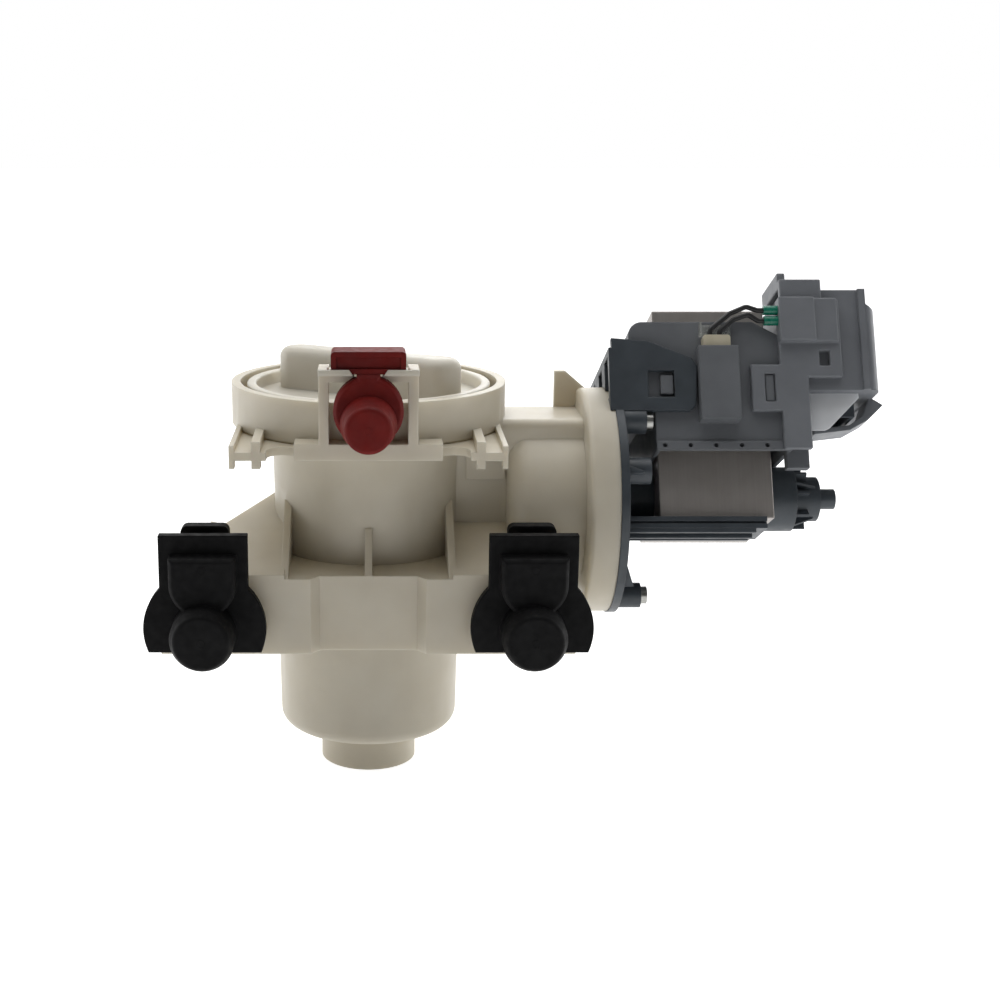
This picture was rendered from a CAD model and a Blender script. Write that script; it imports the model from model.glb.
# %% [markdown]
# # Dressing a washer drain pump
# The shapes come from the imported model, which is loaded as a fixed frame. This lesson adds what makes
# them look real: the camera, the light, a finish for every surface and the small moulded details.

# %% Load the frame
import bmesh
import bpy
from math import cos, pi, radians, sin
from mathutils import Matrix, Vector


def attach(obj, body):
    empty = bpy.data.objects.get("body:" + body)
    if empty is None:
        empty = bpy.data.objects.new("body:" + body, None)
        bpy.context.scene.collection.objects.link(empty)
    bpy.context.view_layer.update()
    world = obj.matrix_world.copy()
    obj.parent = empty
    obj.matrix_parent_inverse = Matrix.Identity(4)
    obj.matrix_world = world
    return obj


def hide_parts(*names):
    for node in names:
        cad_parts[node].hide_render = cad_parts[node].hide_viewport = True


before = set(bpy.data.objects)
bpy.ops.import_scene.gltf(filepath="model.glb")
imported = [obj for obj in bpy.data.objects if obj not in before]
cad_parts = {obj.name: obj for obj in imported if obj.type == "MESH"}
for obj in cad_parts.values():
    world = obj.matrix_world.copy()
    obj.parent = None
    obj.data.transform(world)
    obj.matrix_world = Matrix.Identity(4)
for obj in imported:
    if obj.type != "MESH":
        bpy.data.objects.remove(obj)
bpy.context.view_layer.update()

MM = 0.001

# %% [markdown]
# ## Camera
# The pump was photographed from the front and a little above with a normal lens. The lens axis does
# not pass through the picture's middle, because the picture was cropped, so the camera gets a small
# shift.

# %% Camera
LENS_MM = 57.6
SENSOR_MM = 36
PITCH_DOWN = 13.8
CROP_SHIFT = 0.1315
camera = bpy.data.objects.new("camera", bpy.data.cameras.new("camera"))
camera.data.lens = LENS_MM
camera.data.sensor_width = SENSOR_MM
camera.data.sensor_fit = "HORIZONTAL"
camera.data.shift_x = CROP_SHIFT
camera.location = (0, -0.5798, 0.2428)
camera.rotation_euler = (radians(90 - PITCH_DOWN), 0, 0)
bpy.context.scene.collection.objects.link(camera)
bpy.context.scene.camera = camera
bpy.context.scene.view_settings.view_transform = "Standard"
print("camera", tuple(camera.location), LENS_MM)

# %% [markdown]
# ## Light and floor
# The pump stands on white paper in front of a lit white wall, and the camera's side of the room is
# dark. So the world is white to the camera, but as a light it is weak in front and stronger behind,
# which leaves the middle of every round part darker than its edges. Soft boxes above, behind and at
# both sides do the rest. The floor glows a little, most of it for the camera alone, and so keeps the
# pump's shadow.

# %% Light helpers


def either_ray(tree, first, second):
    """Number that is 1 for rays of the two kinds named and 0 for all others."""
    rays = tree.nodes.new("ShaderNodeLightPath")
    either = tree.nodes.new("ShaderNodeMath")
    either.operation = "MAXIMUM"
    tree.links.new(rays.outputs[first], either.inputs[0])
    tree.links.new(rays.outputs[second], either.inputs[1])
    return either.outputs[0]


def soft_box(name, place, aim, size, watts):
    """A square area lamp at place that points at aim."""
    lamp = bpy.data.objects.new(name, bpy.data.lights.new(name, "AREA"))
    lamp.data.shape = "SQUARE"
    lamp.data.size = size
    lamp.data.energy = watts
    lamp.location = place
    lamp.rotation_euler = (Vector(aim) - Vector(place)).to_track_quat("-Z", "Y").to_euler()
    bpy.context.scene.collection.objects.link(lamp)
    print(name, place, watts)


# %% World
FRONT_LIGHT = 0.08
BACK_LIGHT = 1.05
GRADE_REACH = 0.8
world = bpy.data.worlds.new("studio")
bpy.context.scene.world = world
world.use_nodes = True
tree = world.node_tree
tree.nodes.clear()
world_out = tree.nodes.new("ShaderNodeOutputWorld")
white = tree.nodes.new("ShaderNodeBackground")
white.inputs["Color"].default_value = (1, 1, 1, 1)
white.inputs["Strength"].default_value = 1.0
soft = tree.nodes.new("ShaderNodeBackground")
soft.inputs["Color"].default_value = (1, 1, 1, 1)
aim_of_ray = tree.nodes.new("ShaderNodeTexCoord")
axes = tree.nodes.new("ShaderNodeSeparateXYZ")
tree.links.new(aim_of_ray.outputs["Generated"], axes.inputs[0])
grade = tree.nodes.new("ShaderNodeMapRange")
grade.interpolation_type = "SMOOTHSTEP"
grade.inputs["From Min"].default_value = -GRADE_REACH
grade.inputs["From Max"].default_value = GRADE_REACH
grade.inputs["To Min"].default_value = FRONT_LIGHT
grade.inputs["To Max"].default_value = BACK_LIGHT
tree.links.new(axes.outputs["Y"], grade.inputs["Value"])
tree.links.new(grade.outputs["Result"], soft.inputs["Strength"])
pick = tree.nodes.new("ShaderNodeMixShader")
seen = either_ray(tree, "Is Camera Ray", "Is Transmission Ray")
tree.links.new(seen, pick.inputs[0])
tree.links.new(soft.outputs[0], pick.inputs[1])
tree.links.new(white.outputs[0], pick.inputs[2])
tree.links.new(pick.outputs[0], world_out.inputs[0])
print("world", FRONT_LIGHT, "to", BACK_LIGHT)

# %% Lamps
MIDDLE = (0.05, 0.0, 0.10)
soft_box("top_box", (0.0, 0.1, 1.0), MIDDLE, 0.9, 4.0)
soft_box("left_box", (-0.95, 0.25, 0.25), MIDDLE, 0.6, 1.6)
soft_box("right_box", (1.1, 0.25, 0.16), MIDDLE, 0.5, 3.2)
soft_box("back_box", (0.3, 0.9, 0.6), MIDDLE, 0.7, 2.6)

# %% Floor
GLOW_SEEN = 0.5
GLOW_LIGHT = 0.29
PAPER_TONE = 0.78
FLOOR_REACH = 6
floor_mesh = bpy.data.meshes.new("floor")
work = bmesh.new()
bmesh.ops.create_grid(work, x_segments=1, y_segments=1, size=FLOOR_REACH)
work.to_mesh(floor_mesh)
work.free()
floor = bpy.data.objects.new("floor", floor_mesh)
bpy.context.scene.collection.objects.link(floor)
paper = bpy.data.materials.new("paper")
paper.use_nodes = True
tree = paper.node_tree
tree.nodes.clear()
paper_out = tree.nodes.new("ShaderNodeOutputMaterial")
matt = tree.nodes.new("ShaderNodeBsdfDiffuse")
matt.inputs["Color"].default_value = (PAPER_TONE, PAPER_TONE, PAPER_TONE, 1)
glow = tree.nodes.new("ShaderNodeEmission")
scaled = tree.nodes.new("ShaderNodeMath")
scaled.operation = "MULTIPLY_ADD"
scaled.inputs[1].default_value = GLOW_SEEN
scaled.inputs[2].default_value = GLOW_LIGHT
tree.links.new(either_ray(tree, "Is Camera Ray", "Is Glossy Ray"), scaled.inputs[0])
tree.links.new(scaled.outputs[0], glow.inputs["Strength"])
both = tree.nodes.new("ShaderNodeAddShader")
tree.links.new(matt.outputs[0], both.inputs[0])
tree.links.new(glow.outputs[0], both.inputs[1])
tree.links.new(both.outputs[0], paper_out.inputs["Surface"])
floor_mesh.materials.append(paper)
print("floor", len(floor_mesh.polygons), "face")

# %% [markdown]
# ## Finishes
# A moulded surface is never one flat colour. Each finish here has a slow drift of tone, as the melt
# flowed, a finer variation of gloss, a grain in its bump, and a small rounding of its edges by a
# bevel node, which catches the light as a real moulded edge does.

# %% Finish helpers
NOISE_LOW, NOISE_HIGH = 0.3, 0.7
finishes = {}
shaders = {}


def screen(red, green, blue):
    """A colour as seen on a screen, 0 to 255, in the linear values that shaders use."""
    linear = []
    for value in (red, green, blue):
        share = value / 255
        linear.append(share / 12.92 if share <= 0.04045 else ((share + 0.055) / 1.055) ** 2.4)
    return (*linear, 1.0)


def new_finish(name):
    """An empty material with one principled shader; returns what the other helpers work with."""
    finish = bpy.data.materials.new(name)
    finish.use_nodes = True
    finish.node_tree.nodes.clear()
    add, link = finish.node_tree.nodes.new, finish.node_tree.links.new
    out = add("ShaderNodeOutputMaterial")
    shader = add("ShaderNodeBsdfPrincipled")
    link(shader.outputs["BSDF"], out.inputs["Surface"])
    finishes[name], shaders[name] = finish, shader
    print("finish", name)
    return shader, add, link, add("ShaderNodeTexCoord")


def speckle(add, link, where, size_mm, detail, stretch=(1, 1, 1)):
    """Noise whose blobs are about size_mm wide, on the piece's own coordinates."""
    mapping = add("ShaderNodeMapping")
    mapping.inputs["Scale"].default_value = stretch
    noise = add("ShaderNodeTexNoise")
    noise.inputs["Scale"].default_value = 1 / (size_mm * MM)
    noise.inputs["Detail"].default_value = detail
    link(where.outputs["Object"], mapping.inputs["Vector"])
    link(mapping.outputs["Vector"], noise.inputs["Vector"])
    return noise.outputs["Fac"]


def blend_colours(add, link, factor, low, high, start=NOISE_LOW, end=NOISE_HIGH):
    """Colour that runs from low to high as factor goes from start to end."""
    ramp = add("ShaderNodeValToRGB")
    ramp.color_ramp.elements[0].position = start
    ramp.color_ramp.elements[0].color = screen(*low)
    ramp.color_ramp.elements[1].position = end
    ramp.color_ramp.elements[1].color = screen(*high)
    link(factor, ramp.inputs["Fac"])
    return ramp.outputs["Color"]


def spread(add, link, factor, low, high):
    """Number that runs from low to high over the range that the noise mostly fills."""
    ranged = add("ShaderNodeMapRange")
    ranged.inputs["From Min"].default_value = NOISE_LOW
    ranged.inputs["From Max"].default_value = NOISE_HIGH
    ranged.inputs["To Min"].default_value = low
    ranged.inputs["To Max"].default_value = high
    link(factor, ranged.inputs["Value"])
    return ranged.outputs["Result"]


def calculate(add, link, operation, value, number=None):
    """Result of one sum on value, with number as its second term."""
    step = add("ShaderNodeMath")
    step.operation = operation
    link(value, step.inputs[0])
    if number is not None:
        step.inputs[1].default_value = number
    return step.outputs[0]


def relief(add, link, shader, height, depth_mm, strength, edge_mm=None):
    """Bump that follows height, over edges that look rounded by edge_mm if it is given."""
    bump = add("ShaderNodeBump")
    bump.inputs["Distance"].default_value = depth_mm * MM
    bump.inputs["Strength"].default_value = strength
    if edge_mm:
        edge = add("ShaderNodeBevel")
        edge.samples = 4
        edge.inputs["Radius"].default_value = edge_mm * MM
        link(edge.outputs["Normal"], bump.inputs["Normal"])
    link(height, bump.inputs["Height"])
    link(bump.outputs["Normal"], shader.inputs["Normal"])


def moulded(name, light, dark, gloss, flow_mm, grain_mm, grain_depth_mm, edge_mm):
    """Moulded plastic or rubber: drift of tone, varied gloss, grain and soft edges."""
    shader, add, link, where = new_finish(name)
    drift = speckle(add, link, where, flow_mm, 3.0)
    link(blend_colours(add, link, drift, dark, light), shader.inputs["Base Color"])
    cloud = speckle(add, link, where, flow_mm / 3, 4.0)
    link(spread(add, link, cloud, *gloss), shader.inputs["Roughness"])
    grain = speckle(add, link, where, grain_mm, 3.0)
    relief(add, link, shader, grain, grain_depth_mm, 0.6, edge_mm)


print("a row of a moulded finish: name, light, dark, gloss, flow, grain, grain's depth, edge in mm")

# %% [markdown]
# ### White housing and cap
# Warm white polypropylene, satin, with the faint cloudiness of a thick moulding. A little scattering
# below the skin keeps its shaded sides from going dead.

# %% White plastic
for row in (
    ("housing_white", (208, 201, 184), (199, 191, 173), (0.36, 0.5), 22, 0.5, 0.01, 0.5),
    ("cap_white", (211, 206, 193), (203, 197, 183), (0.34, 0.46), 18, 0.5, 0.01, 1.0),
):
    moulded(*row)
    scatter = shaders[row[0]].inputs
    scatter["Subsurface Weight"].default_value = 0.35
    scatter["Subsurface Scale"].default_value = 6 * MM
    scatter["Subsurface Radius"].default_value = (1.0, 0.9, 0.75)

# %% [markdown]
# ### Rubber
# The feet are moulded rubber. Rubber has a broad, weak sheen, dust in its pores and a coarser skin.

# %% Rubber
for row in (
    ("black_rubber", (9, 9, 10), (5, 5, 6), (0.55, 0.75), 9, 0.35, 0.02, 0.9),
    ("red_rubber", (112, 18, 12), (92, 12, 9), (0.5, 0.68), 8, 0.35, 0.018, 0.7),
    ("seal_rubber", (34, 34, 34), (24, 24, 24), (0.4, 0.55), 6, 0.3, 0.02, 0.3),
):
    moulded(*row)
for name, sheen in (("black_rubber", 0.14), ("red_rubber", 0.2)):
    shaders[name].inputs["Specular IOR Level"].default_value = sheen

# %% [markdown]
# ### Motor plastics
# The frame, coil cover and terminal cover are glass filled plastics. The fibres give them a dry,
# slightly streaked skin, each part in its own grey. The smaller parts inside have finishes of the
# same kind.

# %% Motor plastics
for row in (
    ("slate", (62, 69, 75), (51, 57, 63), (0.4, 0.55), 12, 0.4, 0.01, 0.6),
    ("cover_grey", (106, 109, 113), (97, 100, 104), (0.42, 0.58), 14, 0.4, 0.012, 0.8),
    ("terminal_grey", (118, 121, 126), (109, 112, 117), (0.4, 0.55), 14, 0.4, 0.012, 0.8),
    ("socket_grey", (222, 224, 227), (212, 214, 217), (0.35, 0.5), 10, 0.4, 0.015, 0.3),
    ("impeller_black", (58, 58, 62), (46, 46, 50), (0.35, 0.5), 10, 0.4, 0.02, 0.3),
    ("ivory_nylon", (206, 198, 176), (192, 184, 160), (0.3, 0.45), 8, 0.4, 0.015, 0.3),
    ("ferrite", (56, 56, 60), (44, 44, 48), (0.45, 0.6), 5, 0.2, 0.03, 0.2),
    ("wire_black", (7, 7, 8), (4, 4, 5), (0.42, 0.55), 6, 0.6, 0.01, 0.1),
    ("sleeve_green", (20, 122, 98), (12, 100, 80), (0.22, 0.34), 5, 0.5, 0.01, 0.1),
):
    moulded(*row)

# %% [markdown]
# ### Steel sheets of the core
# The core is a stack of thin electrical steel sheets. Its sides show their cut edges: fine upright
# lines, each sheet a little lighter or darker, with a worn metal gloss and brown patches of varnish.

# %% Steel sheets
SHEET_MM = 0.5
MIX_FIRST, MIX_SECOND, MIX_RESULT = 6, 7, 2  # the colour sockets of a Mix node
shader, add, link, where = new_finish("lamination")
split = add("ShaderNodeSeparateXYZ")
link(where.outputs["Object"], split.inputs[0])
sheets = calculate(add, link, "MULTIPLY", split.outputs["X"], 1 / (SHEET_MM * MM))
tone = add("ShaderNodeTexWhiteNoise")
tone.noise_dimensions = "1D"
link(calculate(add, link, "FLOOR", sheets), tone.inputs["W"])
stain = add("ShaderNodeMix")
stain.data_type = "RGBA"
varnish = speckle(add, link, where, 14, 4.0)
link(spread(add, link, varnish, 0.0, 0.3), stain.inputs["Factor"])
link(blend_colours(add, link, tone.outputs["Value"], (164, 159, 155), (168, 163, 159), 0.0, 1.0),
     stain.inputs[MIX_FIRST])
stain.inputs[MIX_SECOND].default_value = screen(151, 143, 137)
link(stain.outputs[MIX_RESULT], shader.inputs["Base Color"])
shader.inputs["Metallic"].default_value = 0.55
streak = speckle(add, link, where, 3, 3.0, (6, 0.6, 0.6))
link(spread(add, link, streak, 0.34, 0.52), shader.inputs["Roughness"])
part_of_sheet = calculate(add, link, "FRACT", sheets)
valley = calculate(add, link, "PINGPONG", part_of_sheet, 0.5)
relief(add, link, shader, valley, 0.02, 0.3, 0.8)
print("sheets of", SHEET_MM, "mm")

# %% [markdown]
# ### Other metals
# Screws, shaft, tabs and bushes are plain metals with fine machining marks. Copper wire lies in
# turns, so its bump repeats along the leg.

# %% Plain metals


def metal(name, light, dark, rough, marks, marks_mm):
    """Metal with fine marks that are squeezed along each axis by the factor in marks."""
    shader, add, link, where = new_finish(name)
    scratch = speckle(add, link, where, marks_mm, 3.0, marks)
    link(blend_colours(add, link, scratch, dark, light), shader.inputs["Base Color"])
    link(spread(add, link, scratch, *rough), shader.inputs["Roughness"])
    shader.inputs["Metallic"].default_value = 1.0
    relief(add, link, shader, scratch, 0.01, 0.4)


for row in (
    ("zinc", (176, 176, 172), (150, 150, 146), (0.28, 0.45), (1, 3, 3), 1.2),
    ("ground_steel", (190, 190, 190), (172, 172, 172), (0.18, 0.3), (8, 0.5, 0.5), 2.0),
    ("tinned", (196, 194, 186), (176, 174, 166), (0.25, 0.4), (1, 1, 4), 1.5),
    ("bronze", (120, 104, 84), (98, 84, 68), (0.4, 0.55), (1, 1, 1), 0.8),
):
    metal(*row)

# %% Copper turns
WIRE_MM = 0.5
LEAN = radians(27)
shader, add, link, where = new_finish("copper")
height = add("ShaderNodeVectorMath")
height.operation = "DOT_PRODUCT"
height.inputs[1].default_value = (0, sin(LEAN), cos(LEAN))
link(where.outputs["Object"], height.inputs[0])
turns = calculate(add, link, "MULTIPLY", height.outputs["Value"], 2 * pi / (WIRE_MM * MM))
relief(add, link, shader, calculate(add, link, "SINE", turns), 0.15, 0.8)
tint = speckle(add, link, where, 4, 3.0)
link(blend_colours(add, link, tint, (150, 74, 40), (186, 98, 56)), shader.inputs["Base Color"])
shader.inputs["Metallic"].default_value = 0.85
shader.inputs["Roughness"].default_value = 0.3
shader.inputs["Coat Weight"].default_value = 0.5
print("wire of", WIRE_MM, "mm")

# %% [markdown]
# ### Clear plastic
# The tube behind the leads is clear and a little hazy.

# %% Clear plastic
shader, add, link, where = new_finish("clear_plastic")
haze = speckle(add, link, where, 3, 3.0)
link(blend_colours(add, link, haze, (226, 228, 224), (242, 243, 240)), shader.inputs["Base Color"])
link(spread(add, link, haze, 0.06, 0.2), shader.inputs["Roughness"])
shader.inputs["Transmission Weight"].default_value = 0.9
shader.inputs["IOR"].default_value = 1.45
print("finishes", len(finishes))

# %% [markdown]
# ## Smooth curves and dressing
# The model's round faces are made of narrow flats. A small geometry node group joins their corners
# and shades them smooth, but keeps every edge sharper than thirty degrees. Then each node gets its
# finish.

# %% Smooth shading group
SAME_POINT = 0.002 * MM
SHARP_FROM = radians(30)
smooth = bpy.data.node_groups.new("smooth_curves", "GeometryNodeTree")
for direction in ("INPUT", "OUTPUT"):
    smooth.interface.new_socket("Geometry", in_out=direction, socket_type="NodeSocketGeometry")
begin = smooth.nodes.new("NodeGroupInput")
end = smooth.nodes.new("NodeGroupOutput")
merge = smooth.nodes.new("GeometryNodeMergeByDistance")
merge.inputs["Distance"].default_value = SAME_POINT
all_faces = smooth.nodes.new("GeometryNodeSetShadeSmooth")
all_faces.domain = "FACE"
all_faces.inputs["Shade Smooth"].default_value = True
sharp = smooth.nodes.new("GeometryNodeSetShadeSmooth")
sharp.domain = "EDGE"
sharp.inputs["Shade Smooth"].default_value = False
angle = smooth.nodes.new("GeometryNodeInputMeshEdgeAngle")
over = smooth.nodes.new("FunctionNodeCompare")
over.data_type = "FLOAT"
over.operation = "GREATER_THAN"
over.inputs[1].default_value = SHARP_FROM
smooth.links.new(angle.outputs["Unsigned Angle"], over.inputs[0])
smooth.links.new(over.outputs[0], sharp.inputs["Selection"])
smooth.links.new(begin.outputs[0], merge.inputs["Geometry"])
smooth.links.new(merge.outputs["Geometry"], all_faces.inputs["Geometry"])
smooth.links.new(all_faces.outputs["Geometry"], sharp.inputs["Geometry"])
smooth.links.new(sharp.outputs["Geometry"], end.inputs[0])
print("group", smooth.name)

# %% Rounded edges
FLAT_WITHIN = radians(0.6)
ROUND_FROM = radians(40)


def round_edges(piece, radius_mm):
    """Joins a piece's flats and rounds its sharp edges by modifiers, so its mesh stays as it is."""
    join = piece.modifiers.new("join_corners", "WELD")
    join.merge_threshold = SAME_POINT
    flats = piece.modifiers.new("join_flats", "DECIMATE")
    flats.decimate_type = "DISSOLVE"
    flats.angle_limit = FLAT_WITHIN
    edges = piece.modifiers.new("round_edges", "BEVEL")
    edges.width = radius_mm * MM
    edges.segments = 3
    edges.profile = 0.5
    edges.limit_method = "ANGLE"
    edges.angle_limit = ROUND_FROM
    edges.use_clamp_overlap = True


def soften(piece, rounding_mm):
    """Smooth curves, and where rounding_mm isn't zero rounded edges beside flats that look flat."""
    if rounding_mm:
        round_edges(piece, rounding_mm)
    curves = piece.modifiers.new("smooth_curves", "NODES")
    curves.node_group = smooth
    if rounding_mm:
        weights = piece.modifiers.new("even_shading", "WEIGHTED_NORMAL")
        weights.keep_sharp = True


print("edges over 40 degrees are rounded, edges over 30 stay sharp in the shading")

# %% Dress the nodes
ROUND_MM = {
    "terminal_strap": 0.5, "coil_cover": 0.5, "motor_frame": 0.3, "collar_foot": 0.4,
    "front_foot_left": 0.5, "front_foot_right": 0.5, "stator_core": 0.25, "pump_housing": 0.4,
}
FINISH_OF = {
    "pump_housing": "housing_white", "filter_cap": "cap_white", "filter_basket": "cap_white",
    "cap_seal": "seal_rubber", "volute_seal": "seal_rubber", "front_foot_left": "black_rubber",
    "front_foot_right": "black_rubber", "collar_foot": "red_rubber", "motor_frame": "slate",
    "flange_screws": "zinc", "impeller": "impeller_black", "rotor_shaft": "ground_steel",
    "rotor_magnet": "ferrite", "front_bearing": "bronze", "rear_bearing": "bronze",
    "stator_core": "lamination", "coil_bobbins": "ivory_nylon", "coil_windings": "copper",
    "coil_cover": "cover_grey", "thermal_protector": "ivory_nylon",
    "protector_leads": "wire_black", "lead_sleeves": "sleeve_green",
    "terminal_strap": "terminal_grey", "terminal_hood": "terminal_grey",
    "connector_insert": "slate", "terminals": "tinned",
}
for node, label in FINISH_OF.items():
    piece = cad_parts[node]
    if not piece.material_slots:
        piece.data.materials.append(finishes[label])
    for place in piece.material_slots:
        place.material = finishes[label]
    soften(piece, ROUND_MM.get(node, 0.0))
print("dressed", len(FINISH_OF), "of", len(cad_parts), "nodes")

# %% [markdown]
# ## Small moulded details
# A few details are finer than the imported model: webs behind the flange, rails, ribs, lips, a clear
# tube behind the leads and the marks that ejector pins leave. Each is a small mesh in the same
# frame. The motor leans back, so one helper turns depth and height along the lean into plain
# coordinates.

# %% Detail helpers
AXIS_HEIGHT = 100.7


def leaned(x, depth, height):
    """Point in metres from millimetres along the pump axis, behind it and up the leaning motor."""
    return Vector((
        x,
        depth * cos(LEAN) + height * sin(LEAN),
        AXIS_HEIGHT - depth * sin(LEAN) + height * cos(LEAN),
    )) * MM


def upright(x, depth, height):
    """Point in metres from millimetres in the plain frame."""
    return Vector((x, depth, height)) * MM


def add_piece(name, work, finish, body, rounding_mm=0.0):
    """Turns a worked mesh into a named piece that rides on its body."""
    bmesh.ops.recalc_face_normals(work, faces=work.faces)
    mesh = bpy.data.meshes.new(name)
    work.to_mesh(mesh)
    work.free()
    piece = bpy.data.objects.new(name, mesh)
    bpy.context.scene.collection.objects.link(piece)
    mesh.materials.append(finish)
    soften(piece, rounding_mm)
    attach(piece, body)
    print("piece", name, len(mesh.polygons), "faces")
    return piece


def close_up(work, front, back):
    """Faces of a prism between two outlines of corners."""
    work.faces.new(front)
    work.faces.new(back[::-1])
    for count in range(len(front)):
        after = (count + 1) % len(front)
        work.faces.new((front[count], back[count], back[after], front[after]))


def prism(name, outline, start, end, place, label, edge_mm=0.25):
    """Outline of (x, height) points, drawn out in depth from start to end, with rounded edges."""
    work = bmesh.new()
    front = [work.verts.new(place(x, start, height)) for x, height in outline]
    back = [work.verts.new(place(x, end, height)) for x, height in outline]
    close_up(work, front, back)
    bmesh.ops.bevel(work, geom=work.edges[:], offset=edge_mm * MM, offset_type="OFFSET", segments=2,
                    profile=0.5, affect="EDGES", material=-1)
    add_piece(name, work, finishes[label], "pump")


def ring_mark(name, centre, radius, width, rise, label):
    """Flat raised ring, as an ejector pin leaves it, on a face that looks to the front."""
    work = bmesh.new()
    profile = [(radius - width, 0.0), (radius - width * 0.7, rise),
               (radius - width * 0.3, rise), (radius, 0.0)]
    line = [work.verts.new((across * MM, 0, up * MM)) for across, up in profile]
    edges = [work.edges.new(pair) for pair in zip(line, line[1:])]
    bmesh.ops.spin(work, geom=line + edges, cent=(0, 0, 0), axis=(0, 0, 1), dvec=(0, 0, 0),
                   angle=2 * pi, steps=48, use_merge=True)
    turn = Vector((0, -1, 0)).to_track_quat("Z", "Y").to_matrix().to_4x4()
    bmesh.ops.transform(work, matrix=Matrix.Translation(centre) @ turn, verts=work.verts)
    add_piece(name, work, finishes[label], "pump")


print("pump axis at", AXIS_HEIGHT, "mm")

# %% Webs behind the flange
FLANGE_RIGHT = 91.0
WEB_ROOT = FLANGE_RIGHT - 0.1
prism("upper_web", [(WEB_ROOT, 0.0), (WEB_ROOT, 3.2), (96.4, 1.2), (96.4, 0.0)],
      -39.0, -24.0, leaned, "slate")
prism("lower_web", [(WEB_ROOT, 76.0), (WEB_ROOT, 86.0), (92.2, 84.6), (95.0, 76.0)],
      -31.0, -29.4, upright, "slate")

# %% Rails under the core
RAIL_TOP = -16.3
RAIL_END = 138.0
RAIL_HALF = 0.8
for count, (place, low) in enumerate(((-24.2, -18.0), (-17.5, -18.6), (-10.8, -18.0))):
    prism(f"tray_rail_{count}",
          [(WEB_ROOT, RAIL_TOP), (RAIL_END, RAIL_TOP), (RAIL_END, low), (WEB_ROOT, low)],
          place - RAIL_HALF, place + RAIL_HALF, leaned, "slate")

# %% [markdown]
# ### Socket face and chin
# The socket under the hood shows a flat light grey face whose right edge slants inwards. The chin
# below the hood is a shallow band, so the look of the hood is a copy of the model whose chin is made
# shallower.

# %% Socket face
prism("socket_face", [(158.4, 36.0), (177.0, 36.0), (177.2, 31.4), (166.0, 20.0), (164.0, 19.2),
                      (158.4, 19.2)], -26.6, -25.9, leaned, "socket_grey")

# %% Hood with a shallow chin
CHIN_BACK = 20.0
CHIN_BACK_SEEN = -9.0
CHIN_BELOW = 32.6
CHIN_WITHIN = 0.2
work = bmesh.new()
work.from_mesh(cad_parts["terminal_hood"].data)
bmesh.ops.remove_doubles(work, verts=work.verts, dist=SAME_POINT)
moved = 0
for corner in work.verts:
    above_axis = corner.co.z - AXIS_HEIGHT * MM
    depth = (corner.co.y * cos(LEAN) - above_axis * sin(LEAN)) / MM
    height = (corner.co.y * sin(LEAN) + above_axis * cos(LEAN)) / MM
    if abs(depth - CHIN_BACK) < CHIN_WITHIN and height < CHIN_BELOW:
        corner.co = leaned(corner.co.x / MM, CHIN_BACK_SEEN, height)
        moved += 1
hood_look = add_piece("hood_look", work, finishes["terminal_grey"], "pump", rounding_mm=0.5)
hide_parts("terminal_hood")
print("corners of the chin moved", moved)

# %% Clear tube behind the leads
TUBE_LEFT = 119.4
TUBE_LOW, TUBE_HIGH = 52.8, 57.4
for name, right, start, end in (("clear_back", 130.8, -31.55, -31.15),
                                ("clear_left", 119.9, -34.6, -31.6)):
    prism(name, [(TUBE_LEFT, TUBE_LOW), (TUBE_LEFT, TUBE_HIGH), (right, TUBE_HIGH),
                 (right, TUBE_LOW)], start, end, leaned, "clear_plastic", edge_mm=0.1)

# %% Lips of the upper foot's frame
# Two lips stand in front of the foot's head and leave a slot that narrows downwards for its neck.
LIP_LOW, LIP_HIGH = 157.2, 159.2
LIPS = (
    ("frame_lip", ((16.7, LIP_LOW), (16.7, LIP_HIGH), (6.4, LIP_HIGH), (5.0, LIP_LOW)), -61.6, -60.7),
    ("frame_lip_end", ((13.5, LIP_LOW), (13.5, LIP_HIGH), (16.7, LIP_HIGH), (16.7, LIP_LOW)),
     -60.9, -55.8),
)
for side, label in ((-1, "left"), (1, "right")):
    for name, outline, start, end in LIPS:
        prism(f"{name}_{label}", [(side * x, height) for x, height in outline], start, end,
              upright, "housing_white", edge_mm=0.2)

# %% Ribs on the motor's nose
RIB_PROFILE = ((157.0, 8.0), (157.0, 11.4), (164.5, 8.6), (164.5, 7.4))
RIB_HALF = 0.5
for count in range(4):
    turn = radians(45 + 90 * count)
    work = bmesh.new()
    side_a, side_b = [], []
    for along, out in RIB_PROFILE:
        for line, offset in ((side_a, -RIB_HALF), (side_b, RIB_HALF)):
            line.append(work.verts.new(upright(
                along,
                out * cos(turn) - offset * sin(turn),
                AXIS_HEIGHT + out * sin(turn) + offset * cos(turn),
            )))
    close_up(work, side_a, side_b)
    add_piece(f"nose_rib_{count}", work, finishes["slate"], "pump")

# %% Ejector marks on the feet
FOOT_PLACE = 56.0
KNOB_FRONT = -74.0
for side, place in (("left", -FOOT_PLACE), ("right", FOOT_PLACE)):
    for label, height, depth in (("boss", 92.0, -66.0), ("knob", 69.0, KNOB_FRONT)):
        ring_mark(f"{side}_{label}_mark", upright(place, depth, height), 1.6, 0.5, 0.1,
                  "black_rubber")
ring_mark("upper_knob_mark", upright(0, KNOB_FRONT, 141.2), 1.4, 0.4, 0.08, "red_rubber")
